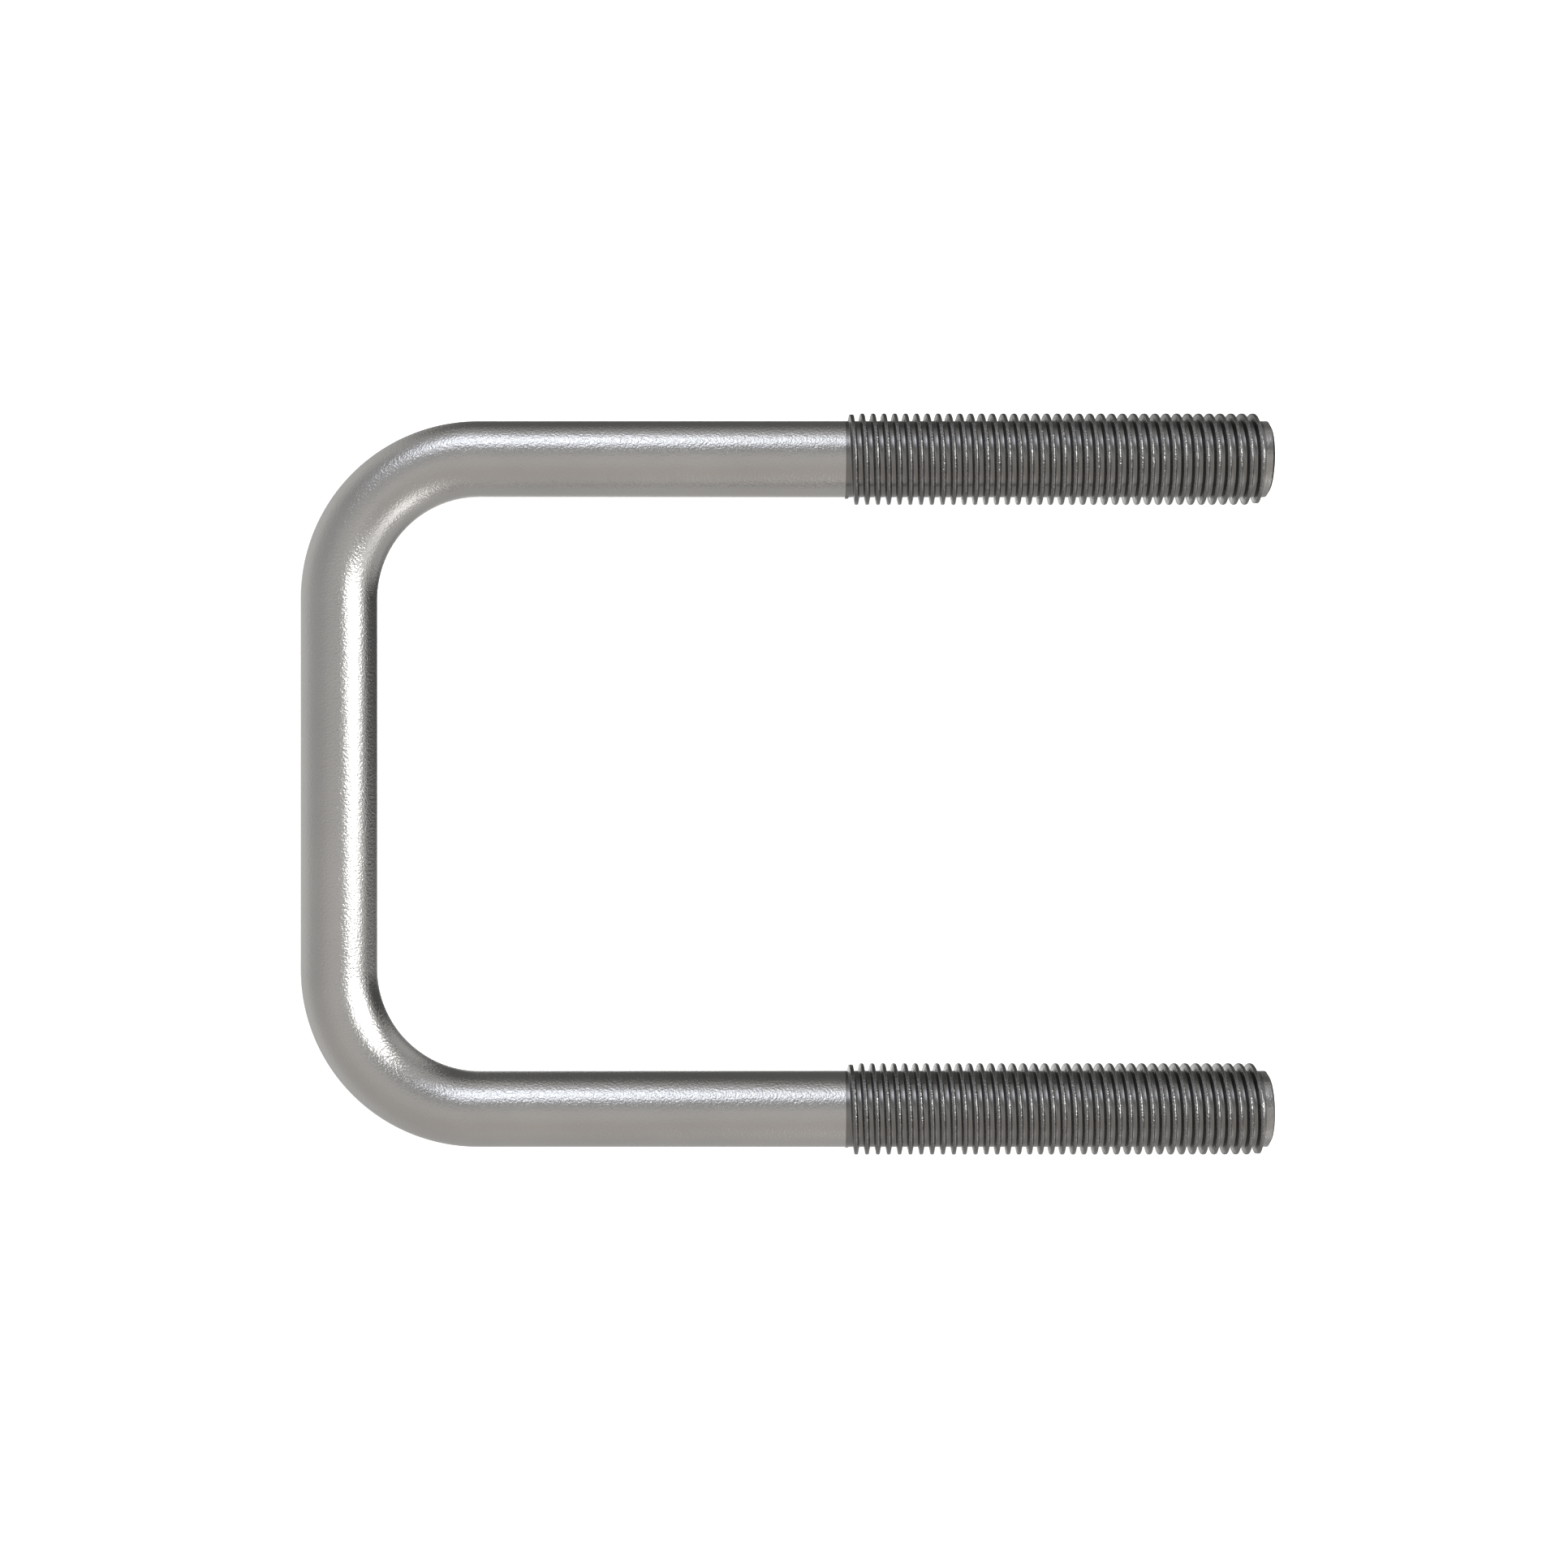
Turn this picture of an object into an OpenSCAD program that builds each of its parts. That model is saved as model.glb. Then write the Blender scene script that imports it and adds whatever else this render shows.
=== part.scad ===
// Square-bend U-bolt: one round steel bar, a straight crown, two tight bends and
// two parallel legs, each with a right-hand thread and a short pilot at its free end.
// The bar lies flat: legs along +X, crown along Y, the bar's centreline in Z = 0.
// The stretches of the bar are separate solids that meet face to face.

/* [Bar] */
// Diameter of the plain bar (5/16 in)
shank_d = 7.9375; // [7:0.0625:8.5]
// Distance between the centrelines of the two legs
leg_spacing = 68.2625; // [50:0.0125:90]
// Length from the crown's outer face to the tips
overall_length = 101.6; // [90:0.1:140]
// Inside radius of each bend
bend_inner_r = 10.7; // [6:0.1:18]

/* [Thread] */
// Major diameter of the thread, over its crests (3/8 in)
thread_d = 9.525; // [9.3:0.005:10]
// Length of each leg that is threaded, pilot included
thread_length = 44.45; // [20:0.05:50]
// Distance from one crest to the next
thread_pitch = 1.136; // [1.05:0.001:1.6]
// Width of the flat at the top of the thread
crest_flat = 0.42; // [0.3:0.01:0.48]
// Width of the flat at the bottom of the groove
root_flat = 0.4; // [0.3:0.01:0.48]

/* [Pilot] */
// Length of the plain pilot ahead of the last thread
pilot_length = 0.95; // [0.6:0.05:3]
// How far the chamfer at the tip reaches along the pilot
chamfer_length = 0.28; // [0.05:0.01:0.5]
// How far the chamfer reaches in across the end face
chamfer_depth = 0.45; // [0.05:0.01:0.6]

/* [Hidden] */
$fn = 96;
steel = [0.66, 0.66, 0.67];
dark_steel = [0.42, 0.42, 0.43];

shank_r = shank_d / 2;
crest_r = thread_d / 2;
bend_r = bend_inner_r + shank_r;
leg_y = leg_spacing / 2;

// Places along the legs, from the middle of the overall length
crown_x = -overall_length / 2 + shank_r;
bend_x = crown_x + bend_r;
tip_x = overall_length / 2;
thread_x = tip_x - thread_length;
shoulder_x = tip_x - pilot_length;
bend_y = leg_y - bend_r;

// The thread rises out of the bar at the start of the leg and drops off at the shoulder
run_in = 0.8;
run_out = 0.35;
lip = 0.12;

// The groove that leaves the thread standing is swept as a screw
segments = 24;
groove_start = 0.97;
groove_turns = (shoulder_x - thread_x) / thread_pitch + 1.5;
groove_steps = floor(groove_turns * segments);
flank = (thread_pitch - crest_flat - root_flat) / 2 / (crest_r - shank_r);
clear_r = crest_r + 0.2;
clear_w = root_flat / 2 + flank * (clear_r - shank_r);

// A straight stretch of plain bar along +X
module rod(from_x, to_x) {
    translate([from_x, 0, 0]) rotate([0, 90, 0]) cylinder(h = to_x - from_x, r = shank_r);
}

module crown_bar() {
    color(steel) translate([crown_x, bend_y, 0]) rotate([90, 0, 0])
        cylinder(h = 2 * bend_y, r = shank_r);
}

// The bend on the +Y side, a quarter of a ring
module bend() {
    color(steel) translate([bend_x, bend_y, 0]) rotate([0, 0, 90])
        rotate_extrude(angle = 90) translate([bend_r, 0]) circle(r = shank_r);
}

module plain_leg() {
    color(steel) translate([0, leg_y, 0]) rod(bend_x, thread_x);
}

// The bar swollen to the crests, before the groove is cut
module thread_blank() {
    length = shoulder_x - thread_x;
    translate([thread_x, 0, 0]) rotate([0, 90, 0]) rotate_extrude()
        polygon([[0, 0], [shank_r + lip, 0], [crest_r, run_in],
                 [crest_r, length - run_out], [shank_r + lip, length], [0, length]]);
}

// One cross-section of the groove, turned and advanced by its step along the screw
function groove_section(i) =
    let (a = 360 * i / segments, x = thread_x + thread_pitch * (i / segments - groove_start))
    [for (p = [[-root_flat / 2, shank_r], [-clear_w, clear_r],
               [clear_w, clear_r], [root_flat / 2, shank_r]])
        [x + p[0], p[1] * cos(a), p[1] * sin(a)]];

module thread_groove() {
    points = [for (i = [0:groove_steps]) each groove_section(i)];
    walls = [for (i = [0:groove_steps - 1]) for (k = [0:3])
        let (a = 4 * i + k, b = 4 * i + (k + 1) % 4)
        each [[a, b, b + 4], [a, b + 4, a + 4]]];
    ends = [[3, 2, 1, 0], [for (k = [0:3]) 4 * groove_steps + k]];
    polyhedron(points = points, faces = concat(walls, ends), convexity = 20);
}

module threaded_end() {
    color(dark_steel) translate([0, leg_y, 0]) difference() {
        thread_blank();
        thread_groove();
    }
}

// The pilot: bar diameter, with its edge chamfered
module pilot_tip() {
    color(steel) translate([shoulder_x, leg_y, 0]) rotate([0, 90, 0]) rotate_extrude()
        polygon([[0, 0], [shank_r, 0], [shank_r, pilot_length - chamfer_length],
                 [shank_r - chamfer_depth, pilot_length], [0, pilot_length]]);
}

// The leg on the -Y side: bends and plain bar are mirrored, the thread stays right-hand
module mirrored() {
    mirror([0, 1, 0]) children();
}

module shifted() {
    translate([0, -leg_spacing, 0]) children();
}

crown_bar();
bend();  // bend_left
mirrored() bend();  // bend_right
plain_leg();  // plain_leg_left
mirrored() plain_leg();  // plain_leg_right
threaded_end();  // threaded_end_left
shifted() threaded_end();  // threaded_end_right
pilot_tip();  // pilot_tip_left
shifted() pilot_tip();  // pilot_tip_right
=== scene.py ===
import math

import bmesh
import bpy
from mathutils import Matrix, Vector


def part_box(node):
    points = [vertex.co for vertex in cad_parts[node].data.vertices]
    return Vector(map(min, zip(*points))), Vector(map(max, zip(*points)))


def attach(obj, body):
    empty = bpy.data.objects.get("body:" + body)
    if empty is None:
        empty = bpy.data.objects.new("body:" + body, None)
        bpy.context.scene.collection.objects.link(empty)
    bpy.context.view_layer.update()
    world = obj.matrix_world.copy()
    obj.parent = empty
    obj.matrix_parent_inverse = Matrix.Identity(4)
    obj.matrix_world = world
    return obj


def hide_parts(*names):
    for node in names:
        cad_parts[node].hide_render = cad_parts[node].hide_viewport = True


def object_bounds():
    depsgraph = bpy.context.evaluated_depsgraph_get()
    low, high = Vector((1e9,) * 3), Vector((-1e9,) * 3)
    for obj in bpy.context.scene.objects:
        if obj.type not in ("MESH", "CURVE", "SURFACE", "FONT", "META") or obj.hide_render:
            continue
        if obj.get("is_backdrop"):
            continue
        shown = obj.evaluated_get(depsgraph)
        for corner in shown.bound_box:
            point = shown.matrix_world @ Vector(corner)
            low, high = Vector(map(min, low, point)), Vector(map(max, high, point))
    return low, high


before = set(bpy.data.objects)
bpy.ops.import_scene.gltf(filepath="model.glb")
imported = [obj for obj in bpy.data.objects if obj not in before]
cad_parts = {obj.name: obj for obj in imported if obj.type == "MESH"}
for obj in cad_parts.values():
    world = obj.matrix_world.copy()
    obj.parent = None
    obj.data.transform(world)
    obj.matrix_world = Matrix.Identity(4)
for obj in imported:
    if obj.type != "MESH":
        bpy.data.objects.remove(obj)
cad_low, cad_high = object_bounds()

# ---- Crown ----
# The straight stretch of round steel bar that lies across the back of the clamped tube.
# It is hot-rolled bar drawn to size, then tumbled, which leaves a satin skin of fine grain.

crown_low, crown_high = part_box("crown_bar")
crown_x = (crown_low.x + crown_high.x) / 2
bend_y = crown_high.y
bar_radius = (crown_high.x - crown_low.x) / 2
BAR_FACETS = 96
SHARP_EDGE = math.radians(35)
MERGE = 1e-7

BAR_TINT = (0.60, 0.595, 0.585, 1)
BAR_SHADE = (0.565, 0.56, 0.553, 1)
BAR_ROUGHNESS = 0.09
CLOUD_ROUGHENS = 0.04
FINE_ROUGHENS = 0.03
GRAIN_PER_METRE = 4300
GRAIN_HEIGHT = 0.000047
CLOUD_PER_METRE = 90


def round_section(mesh, place):
    """One cross-section of the bar, an open ring of edges."""
    made = bmesh.ops.create_circle(mesh, segments=BAR_FACETS, radius=bar_radius, matrix=place)
    edges = {edge for vert in made["verts"] for edge in vert.link_edges}
    return made["verts"], list(edges)


def pull_section(mesh, edges, travel):
    """Draws a ring of edges out into a tube."""
    pulled = bmesh.ops.extrude_edge_only(mesh, edges=edges)["geom"]
    verts = [item for item in pulled if isinstance(item, bmesh.types.BMVert)]
    bmesh.ops.translate(mesh, vec=travel, verts=verts)


def close_ends(mesh):
    """Caps every open rim."""
    open_rim = [edge for edge in mesh.edges if edge.is_boundary]
    bmesh.ops.holes_fill(mesh, edges=open_rim, sides=0)


def steel_piece(mesh, name, node, finish):
    """Turns a finished bmesh into a piece that stands for its CAD node."""
    bmesh.ops.remove_doubles(mesh, verts=mesh.verts, dist=MERGE)
    bmesh.ops.recalc_face_normals(mesh, faces=mesh.faces)
    for face in mesh.faces:
        face.smooth = True
    for edge in mesh.edges:
        edge.smooth = edge.is_manifold and edge.calc_face_angle(0) < SHARP_EDGE
    data = bpy.data.meshes.new(name)
    mesh.to_mesh(data)
    mesh.free()
    piece = bpy.data.objects.new(name, data)
    bpy.context.scene.collection.objects.link(piece)
    data.materials.append(finish)
    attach(piece, "root")
    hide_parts(node)
    return piece


class Wire:
    """A node's output. Sums and products of wires add Math nodes to the tree."""

    def __init__(self, tree, output=None):
        self.tree = tree
        self.output = output

    def node(self, kind, settings, inputs, output=0):
        made = self.tree.nodes.new(kind)
        for name, value in settings.items():
            setattr(made, name, value)
        for name, value in inputs.items():
            if isinstance(value, Wire):
                self.tree.links.new(value.output, made.inputs[name])
            else:
                made.inputs[name].default_value = value
        return Wire(self.tree, made.outputs[output])

    def maths(self, operation, *values):
        return self.node("ShaderNodeMath", {"operation": operation}, dict(enumerate(values)))

    def __add__(self, other):
        return self.maths("ADD", self, other)

    def __radd__(self, other):
        return self.maths("ADD", other, self)

    def __sub__(self, other):
        return self.maths("SUBTRACT", self, other)

    def __rsub__(self, other):
        return self.maths("SUBTRACT", other, self)

    def __mul__(self, other):
        return self.maths("MULTIPLY", self, other)

    def __rmul__(self, other):
        return self.maths("MULTIPLY", other, self)

    def __pow__(self, other):
        return self.maths("POWER", self, other)

    def ramp(self, low, high):
        """0 below low, 1 above high, and a soft step between."""
        inputs = {"Value": self, "From Min": low, "From Max": high}
        return self.node("ShaderNodeMapRange", {"interpolation_type": "SMOOTHSTEP"}, inputs)

    def blend(self, first, second):
        """first where this is 0, second where it is 1."""
        inputs = {"Factor": self, 6: first, 7: second}
        return self.node("ShaderNodeMix", {"data_type": "RGBA"}, inputs, 2)

    def noise(self, scale, detail):
        inputs = {"Vector": self, "Scale": scale, "Detail": detail, "Roughness": 0.6}
        return self.node("ShaderNodeTexNoise", {}, inputs)

    def axes(self):
        """The three coordinates of a position, one wire each."""
        split = self.node("ShaderNodeSeparateXYZ", {}, {"Vector": self})
        return [Wire(self.tree, out) for out in split.output.node.outputs]


def open_material(name):
    """A material with its nodes cleared but for the surface shader, and its Object coordinates."""
    material = bpy.data.materials.new(name)
    material.use_nodes = True
    shader = material.node_tree.nodes["Principled BSDF"]
    shader.inputs["Metallic"].default_value = 1.0
    place = Wire(material.node_tree).node("ShaderNodeTexCoord", {}, {}, "Object")
    return material, shader, place


def feed(shader, **wires):
    """Links wires into the surface shader's sockets, Base_Color for Base Color."""
    for name, wire in wires.items():
        wire.tree.links.new(wire.output, shader.inputs[name.replace("_", " ")])


def grain_normal(place, scale, height):
    """A fine, sandy unevenness that breaks up the edges of highlights."""
    bump = {"Height": place.noise(scale, 2.0) * height, "Distance": 1.0, "Strength": 1.0}
    return place.node("ShaderNodeBump", {}, bump)


def bar_steel():
    material, shader, place = open_material("satin_bar_steel")
    cloud = place.noise(CLOUD_PER_METRE, 4.0).ramp(0.3, 0.7)
    fine = place.noise(GRAIN_PER_METRE / 3, 2.0)
    feed(
        shader,
        Base_Color=cloud.blend(BAR_SHADE, BAR_TINT),
        Roughness=BAR_ROUGHNESS + CLOUD_ROUGHENS * cloud + FINE_ROUGHENS * fine,
        Normal=grain_normal(place, GRAIN_PER_METRE, GRAIN_HEIGHT),
    )
    return material


satin_steel = bar_steel()

across = Matrix.Rotation(math.radians(90), 4, "X")
crown = bmesh.new()
_, ring = round_section(crown, Matrix.Translation((crown_x, -bend_y, 0)) @ across)
pull_section(crown, ring, Vector((0, 2 * bend_y, 0)))
close_ends(crown)
steel_piece(crown, "crown", "crown_bar", satin_steel)

# ---- Bends ----
# The two corners where the bar is bent cold round a small former, a quarter turn each.
# They are the same bar as the crown and the legs, so their sections meet rim to rim.

BEND_STEPS = 72
bend_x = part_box("plain_leg_left")[0].x

for side, name, node in ((1, "left_bend", "bend_left"), (-1, "right_bend", "bend_right")):
    bend = bmesh.new()
    start = Matrix.Translation((crown_x, side * bend_y, 0)) @ across
    verts, ring = round_section(bend, start)
    bmesh.ops.spin(
        bend,
        geom=verts + ring,
        cent=(bend_x, side * bend_y, 0),
        axis=(0, 0, 1),
        angle=-side * math.pi / 2,
        steps=BEND_STEPS,
    )
    close_ends(bend)
    steel_piece(bend, name, node, satin_steel)

# ---- Plain legs ----
# The stretch of each leg between its bend and its thread, left at bar diameter.
# The clamped tube's sides pass along it.

along = Matrix.Rotation(math.radians(90), 4, "Y")

for name, node in (("left_leg", "plain_leg_left"), ("right_leg", "plain_leg_right")):
    low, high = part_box(node)
    leg = bmesh.new()
    start = Matrix.Translation((low.x, (low.y + high.y) / 2, 0)) @ along
    _, ring = round_section(leg, start)
    pull_section(leg, ring, Vector((high.x - low.x, 0, 0)))
    close_ends(leg)
    steel_piece(leg, name, node, satin_steel)

# ---- Threads ----
# Right-hand threads rolled on the free ends: the dies press the grooves down to bar size
# and raise the crests above it, round-topped and steep-sided, fading out at both ends.

THREAD_PITCH = 0.001136
THREAD_STEPS = 64
TURN_MERGE = 2e-6
CREST_HALF = 0.00021
CREST_ROUND = 0.00014
ROOT_FILLET = 0.00006
FLANK_LEAN = math.radians(10)
FIRST_CREST = 0.53
RUN_IN = 0.0008
RUN_OUT = 0.0004
FADE = 0.6

THREAD_TINT = (0.22, 0.22, 0.22, 1)
GROOVE_TINT = (0.27, 0.268, 0.264, 1)
# Painted shade: the darker colour of the ridges' steep flanks, standing in for the shade at the
# ridges' feet.
FLANK_PAINTED_SHADE = (0.19, 0.19, 0.19, 1)
THREAD_ROUGHNESS = 0.11
PATCH_PER_METRE = 700
THREAD_GRAIN = 5200
THREAD_GRAIN_HEIGHT = 0.000068


def tooth_half(height):
    """Half of one tooth from the middle of its crest to the middle of the groove."""
    steep = math.pi / 2 - FLANK_LEAN
    flat = CREST_HALF - CREST_ROUND
    points = [(0, height)]
    for i in range(5):
        turn = steep * i / 4
        rise = height - CREST_ROUND + CREST_ROUND * math.cos(turn)
        points.append((flat + CREST_ROUND * math.sin(turn), rise))
    foot = ROOT_FILLET * (1 - math.cos(steep))
    drop = points[-1][1] - foot
    middle = points[-1][0] + drop * math.tan(FLANK_LEAN) + ROOT_FILLET * math.sin(steep)
    for i in range(4):
        turn = steep * (1 - i / 3)
        across_root = middle - ROOT_FILLET * math.sin(turn)
        points.append((across_root, ROOT_FILLET * (1 - math.cos(turn))))
    points.append((THREAD_PITCH / 2, 0))
    return points


def thread_steel(leg_y, root, height):
    """The bar's steel, burnished by the dies, darker on the crests than in the grooves, with shade
    painted as a darker colour on the ridges' steep flanks.
    """
    material, shader, place = open_material("rolled_thread_steel")
    _, y, z = place.axes()
    off_axis = y.maths("ABSOLUTE", y) - leg_y
    from_axis = (off_axis * off_axis + z * z) ** 0.5
    above = from_axis - root
    crest = above.ramp(0.1 * height, 0.9 * height)
    patch = place.noise(PATCH_PER_METRE, 3.0)
    tint = (crest * 0.8 + patch * 0.3).blend(GROOVE_TINT, THREAD_TINT)
    # Painted shade: the flanks between root and crest are coloured darker, as the shade in the
    # narrow grooves would fall.
    flank_painted_shade = above.ramp(0, 0.1 * height) * (1 - above.ramp(0.6 * height, 0.95 * height))
    feed(
        shader,
        Base_Color=flank_painted_shade.blend(tint, FLANK_PAINTED_SHADE),
        Roughness=THREAD_ROUGHNESS + 0.10 - 0.10 * crest + 0.08 * (patch - 0.5),
        Normal=grain_normal(place, THREAD_GRAIN, THREAD_GRAIN_HEIGHT * (0.15 + crest)),
    )
    return material


thread_low, thread_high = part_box("threaded_end_left")
crest_radius = (thread_high.z - thread_low.z) / 2
tooth_height = crest_radius - bar_radius
half = tooth_half(tooth_height)
tooth = [(-x, rise) for x, rise in reversed(half[:-1])] + half[1:-1]
tooth = [(-THREAD_PITCH / 2, 0)] + tooth + [(THREAD_PITCH / 2, 0)]
leg_y = (thread_low.y + thread_high.y) / 2
rolled_steel = thread_steel(leg_y, bar_radius, tooth_height)

for side, name, node in (
    (1, "left_thread", "threaded_end_left"),
    (-1, "right_thread", "threaded_end_right"),
):
    low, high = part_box(node)
    turns = math.ceil((high.x - low.x) / THREAD_PITCH) + 3
    first_x = low.x + THREAD_PITCH * (FIRST_CREST - 2)
    thread = bmesh.new()
    verts = [
        thread.verts.new((first_x + x, side * leg_y + bar_radius + rise, 0)) for x, rise in tooth
    ]
    edges = [thread.edges.new(pair) for pair in zip(verts, verts[1:])]
    bmesh.ops.spin(
        thread,
        geom=verts + edges,
        cent=(0, side * leg_y, 0),
        axis=(1, 0, 0),
        dvec=(THREAD_PITCH / THREAD_STEPS, 0, 0),
        angle=2 * math.pi,
        steps=THREAD_STEPS,
    )
    first_turn = thread.verts[:] + thread.edges[:] + thread.faces[:]
    for turn in range(1, turns):
        copied = bmesh.ops.duplicate(thread, geom=first_turn)["geom"]
        verts = [item for item in copied if isinstance(item, bmesh.types.BMVert)]
        bmesh.ops.translate(thread, vec=(turn * THREAD_PITCH, 0, 0), verts=verts)
    bmesh.ops.remove_doubles(thread, verts=thread.verts, dist=TURN_MERGE)
    for cut_x, outward in ((low.x, -1), (high.x, 1)):
        bmesh.ops.bisect_plane(
            thread,
            geom=thread.verts[:] + thread.edges[:] + thread.faces[:],
            dist=MERGE,
            plane_co=(cut_x, 0, 0),
            plane_no=(outward, 0, 0),
            clear_outer=True,
        )
    for vert in thread.verts:
        turn = math.atan2(vert.co.z, vert.co.y - side * leg_y) / (2 * math.pi)
        ridge = round((vert.co.x - low.x) / THREAD_PITCH - FIRST_CREST - turn)
        crest_x = low.x + THREAD_PITCH * (ridge + FIRST_CREST + turn)
        start_fade = max(0, min(1, (crest_x - low.x) / RUN_IN)) ** FADE
        end_fade = max(0, min(1, (high.x - crest_x) / RUN_OUT)) ** FADE
        limit = bar_radius + tooth_height * min(start_fade, end_fade)
        reach = math.hypot(vert.co.y - side * leg_y, vert.co.z)
        if reach > limit:
            vert.co.y = side * leg_y + (vert.co.y - side * leg_y) * limit / reach
            vert.co.z = vert.co.z * limit / reach
    close_ends(thread)
    steel_piece(thread, name, node, rolled_steel)

# ---- Pilot tips ----
# The short plain stub ahead of each thread that leads a nut on: cut square, its edge chamfered.
# Its end face keeps the rings that the cutting tool left.

TIP_FACETS = 96
CHAMFER_LENGTH = 0.00028
CHAMFER_DEPTH = 0.00045
RING_WIDTH = 0.00018
RING_HEIGHT = 0.000006
WOBBLE_PER_METRE = 1500
RING_WOBBLE = 0.8

TIP_TINT = (0.50, 0.495, 0.49, 1)
TIP_SHADE = (0.40, 0.395, 0.39, 1)
TIP_ROUGHNESS = 0.11
TIP_GRAIN = 0.7


def tip_steel(face_x, leg_y):
    """The bar's steel, with turned rings on the end face."""
    material, shader, place = open_material("cut_tip_steel")
    x, y, z = place.axes()
    off_axis = y.maths("ABSOLUTE", y) - leg_y
    from_axis = (off_axis * off_axis + z * z) ** 0.5
    on_face = x.ramp(face_x - 0.00006, face_x - 0.00001)
    wobble = place.noise(WOBBLE_PER_METRE, 2.0) * RING_WOBBLE
    wave = from_axis * (2 * math.pi / RING_WIDTH) + wobble
    rings = wave.maths("SINE", wave)
    grain = place.noise(GRAIN_PER_METRE, 1.0) * (TIP_GRAIN * GRAIN_HEIGHT)
    height = grain + on_face * rings * RING_HEIGHT
    bump = {"Height": height, "Distance": 1.0, "Strength": 1.0}
    cloud = place.noise(CLOUD_PER_METRE * 4, 3.0).ramp(0.3, 0.7)
    feed(
        shader,
        Base_Color=cloud.blend(TIP_SHADE, TIP_TINT),
        Roughness=TIP_ROUGHNESS + 0.05 * cloud,
        Normal=place.node("ShaderNodeBump", {}, bump),
    )
    return material


tip_finish = tip_steel(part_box("pilot_tip_left")[1].x, leg_y)

for name, node in (("left_tip", "pilot_tip_left"), ("right_tip", "pilot_tip_right")):
    low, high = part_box(node)
    middle_y = (low.y + high.y) / 2
    outline = [
        (low.x, 0),
        (low.x, bar_radius),
        (high.x - CHAMFER_LENGTH, bar_radius),
        (high.x, bar_radius - CHAMFER_DEPTH),
        (high.x, 0),
    ]
    tip = bmesh.new()
    verts = [tip.verts.new((x, middle_y + radius, 0)) for x, radius in outline]
    edges = [tip.edges.new(pair) for pair in zip(verts, verts[1:])]
    bmesh.ops.spin(
        tip,
        geom=verts + edges,
        cent=(0, middle_y, 0),
        axis=(1, 0, 0),
        angle=2 * math.pi,
        steps=TIP_FACETS,
        use_merge=True,
    )
    steel_piece(tip, name, node, tip_finish)

# ---- Floor ----
# A plain pale floor that the bolt lies on. It glows a little, as a light table does, so it stays
# white from above, and the steel mirrors the studio round it and not the floor.

FLOOR_SPAN = 8.0
FLOOR_GLOW = 0.8

floor_mesh = bmesh.new()
bmesh.ops.create_grid(floor_mesh, x_segments=1, y_segments=1, size=FLOOR_SPAN / 2)
bmesh.ops.translate(floor_mesh, vec=(0, 0, cad_low.z), verts=floor_mesh.verts)
floor_data = bpy.data.meshes.new("floor")
floor_mesh.to_mesh(floor_data)
floor_mesh.free()
floor = bpy.data.objects.new("floor", floor_data)
bpy.context.scene.collection.objects.link(floor)
floor_paint, floor_shader, _ = open_material("pale_floor")
floor_shader.inputs["Metallic"].default_value = 0.0
floor_shader.inputs["Base Color"].default_value = (0.9, 0.9, 0.9, 1)
floor_shader.inputs["Roughness"].default_value = 0.9
floor_shader.inputs["Emission Color"].default_value = (1, 1, 1, 1)
floor_shader.inputs["Emission Strength"].default_value = FLOOR_GLOW
floor_data.materials.append(floor_paint)
floor.visible_glossy = False
floor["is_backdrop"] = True

# ---- Studio ----
# A soft grey room, darkest low down off the tips' end and behind the left leg. Round patches of
# light and shade lie in it, the brightest off the tips' end and a cooler one behind the left leg.
# Directions are given from +X towards +Y, and from overhead.

ROOM_MIDDLE = (0.50, 0.49, 0.477, 1)
ROOM_ZENITH = (0.70, 0.69, 0.672, 1)
ROOM_PALE = (0.66, 0.65, 0.635, 1)
ROOM_LOW = (0.20, 0.20, 0.20, 1)
ROOM_DARK = (0.09, 0.09, 0.09, 1)
ROOM_BACK = (0.13, 0.13, 0.125, 1)

# Azimuth, angle from overhead and spread in degrees, then the colour at the middle
PATCHES = (
    (140, 45, 25, (0.39, 0.385, 0.385, 1)),
    (-95, 48, 28, (0.54, 0.505, 0.47, 1)),
    (-30, 30, 8, (0.42, 0.41, 0.40, 1)),
    (122, 64, 10, (0.28, 0.275, 0.28, 1)),
    (70, 32, 13, (0.23, 0.226, 0.222, 1)),
    (-23, 74, 10.5, (1.1, 1.08, 1.06, 1)),
    (18, 49, 11, (2.7, 2.69, 2.67, 1)),
    (21, 66, 11.5, (2.7, 2.69, 2.67, 1)),
    (18, 56, 7, (24.0, 24.0, 23.8, 1)),
    (100.5, 51, 9.5, (2.6, 2.7, 2.95, 1)),
    (-54, 80, 12, (1.85, 1.81, 1.78, 1)),
    (180, 168, 8, (1.5, 1.5, 1.48, 1)),
)

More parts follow.
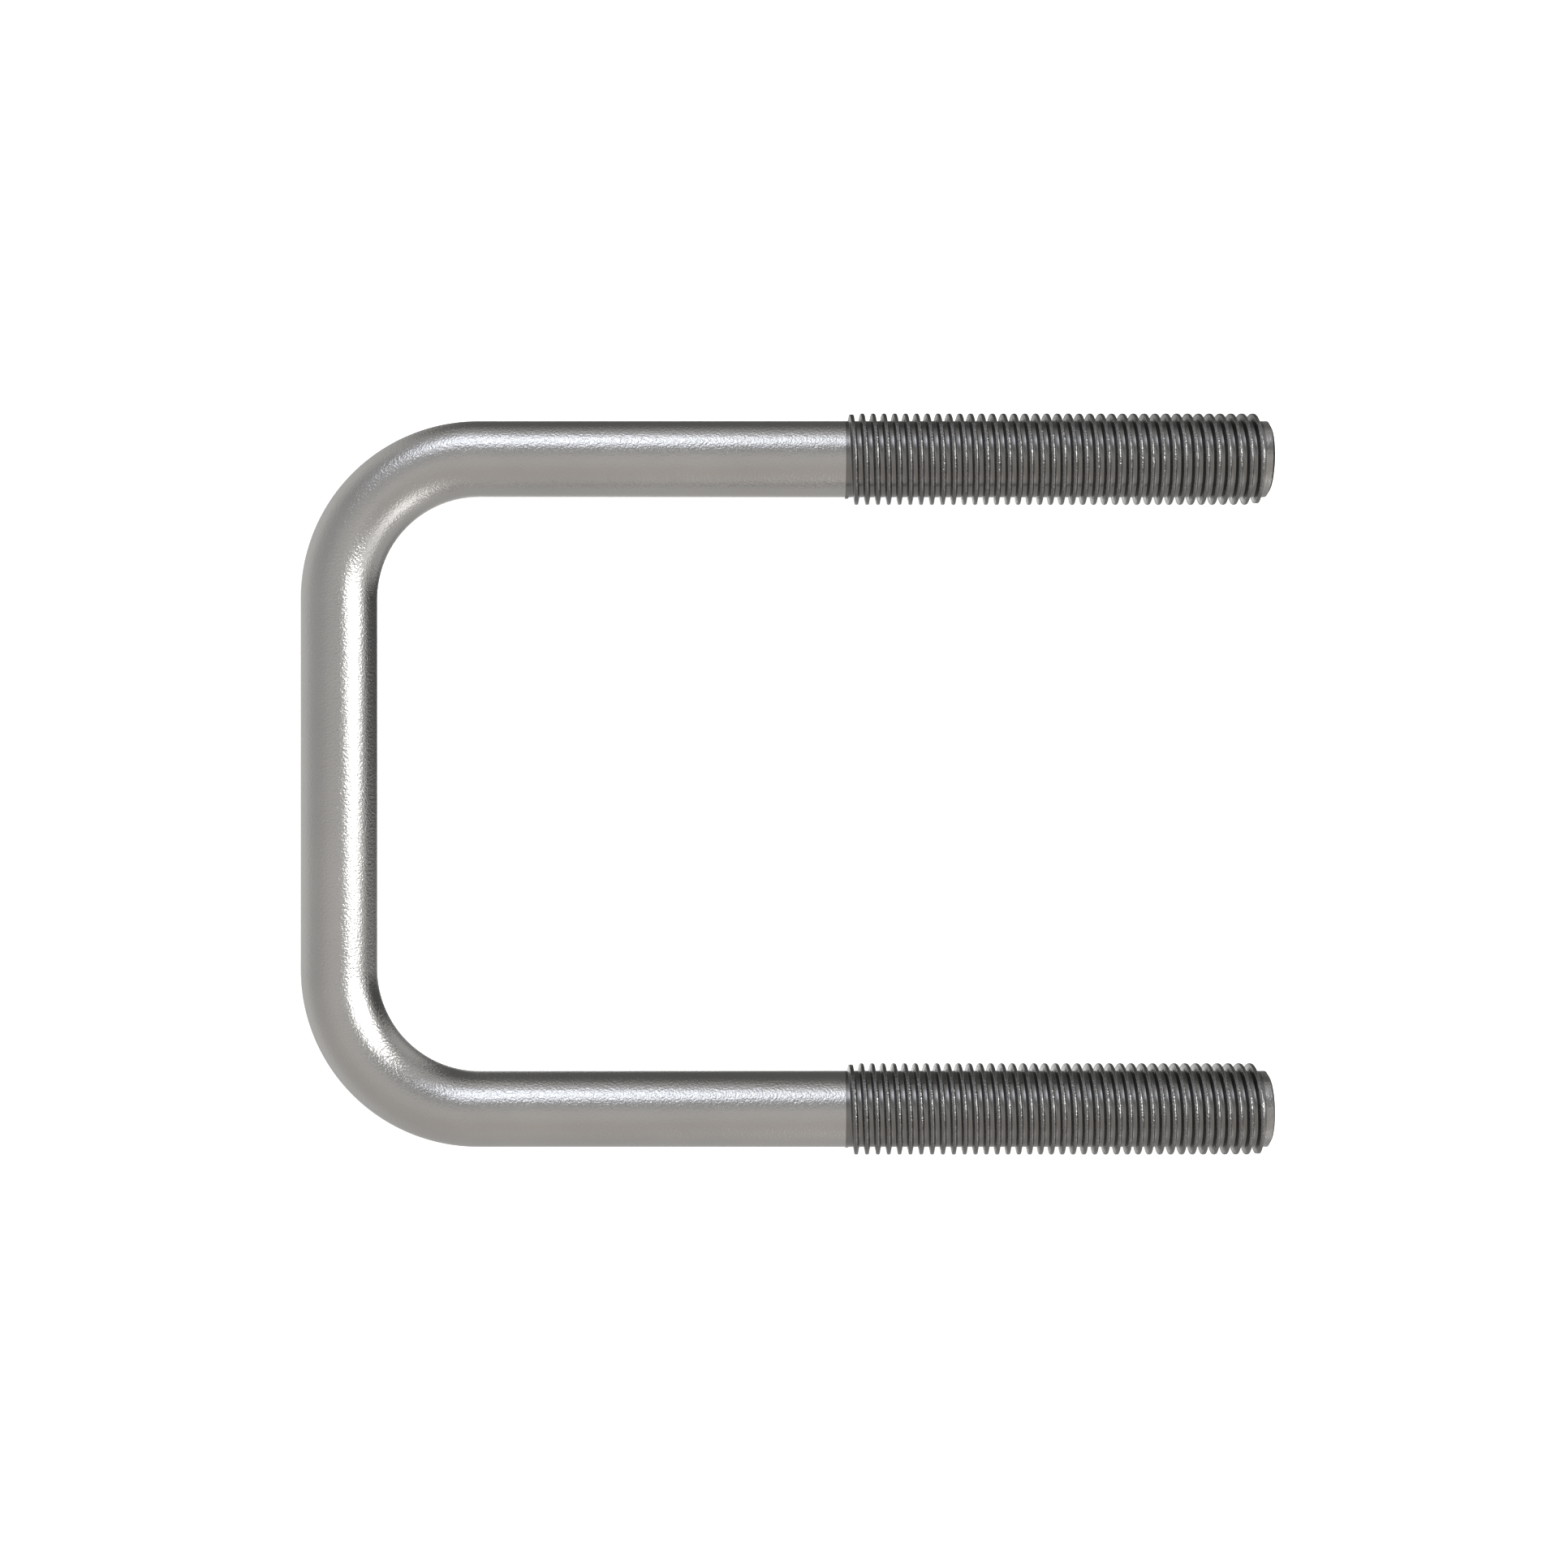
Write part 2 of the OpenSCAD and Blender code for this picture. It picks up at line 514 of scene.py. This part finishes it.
world = bpy.data.worlds.new("studio")
bpy.context.scene.world = world
world.use_nodes = True
sky = world.node_tree.nodes["Background"]
direction = Wire(world.node_tree).node("ShaderNodeTexCoord", {}, {}, "Generated")
dx, dy, dz = direction.axes()
azimuth = dy.maths("ARCTAN2", dy, dx) * math.degrees(1)
below = 1 - dz.ramp(-0.30, 0.0)

room = dz.ramp(0.6, 0.98).blend(ROOM_MIDDLE, ROOM_ZENITH)
pale = (0 - dx).ramp(0.2, 0.95) * (1 - dz.ramp(-0.4, 0.3))
room = pale.blend(room, ROOM_PALE)
low_right = (dx + 0.5 * dy).ramp(-0.2, 0.5) * (1 - dz.ramp(-0.95, -0.6))
room = low_right.blend(room, ROOM_LOW)
off_tips = azimuth.ramp(-14, 4) * (1 - azimuth.ramp(18, 42))
room = (off_tips * below).blend(room, ROOM_DARK)
behind = azimuth.ramp(58, 80) * (1 - azimuth.ramp(100, 130))
room = (behind * (1 - dz.ramp(-0.35, 0.25))).blend(room, ROOM_BACK)
for turn, tilt, spread, tint in PATCHES:
    turn, tilt = math.radians(turn), math.radians(tilt)
    level = dx * (math.cos(turn) * math.sin(tilt)) + dy * (math.sin(turn) * math.sin(tilt))
    facing = level + dz * math.cos(tilt)
    fall = (facing - 1) * (1 / math.radians(spread) ** 2)
    room = fall.maths("EXPONENT", fall).blend(room, tint)
seen = Wire(world.node_tree).node("ShaderNodeLightPath", {}, {}, "Is Camera Ray")
room = seen.blend(room, (1, 1, 1, 1))
world.node_tree.links.new(room.output, sky.inputs["Color"])
sky.inputs["Strength"].default_value = 1.0

# ---- Camera ----
# It looks straight down on the U from above, square to its plane.

CAMERA_HEIGHT = 0.2376
CAMERA_X = -0.00007
LENS = 51.9

camera_data = bpy.data.cameras.new("camera")
camera_data.sensor_width = 36
camera_data.lens = LENS
camera_data.clip_start = 0.01
camera_data.clip_end = 20
camera = bpy.data.objects.new("camera", camera_data)
bpy.context.scene.collection.objects.link(camera)
camera.location = (CAMERA_X, 0, CAMERA_HEIGHT)
bpy.context.scene.camera = camera
bpy.context.scene.view_settings.view_transform = "Standard"

low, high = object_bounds()
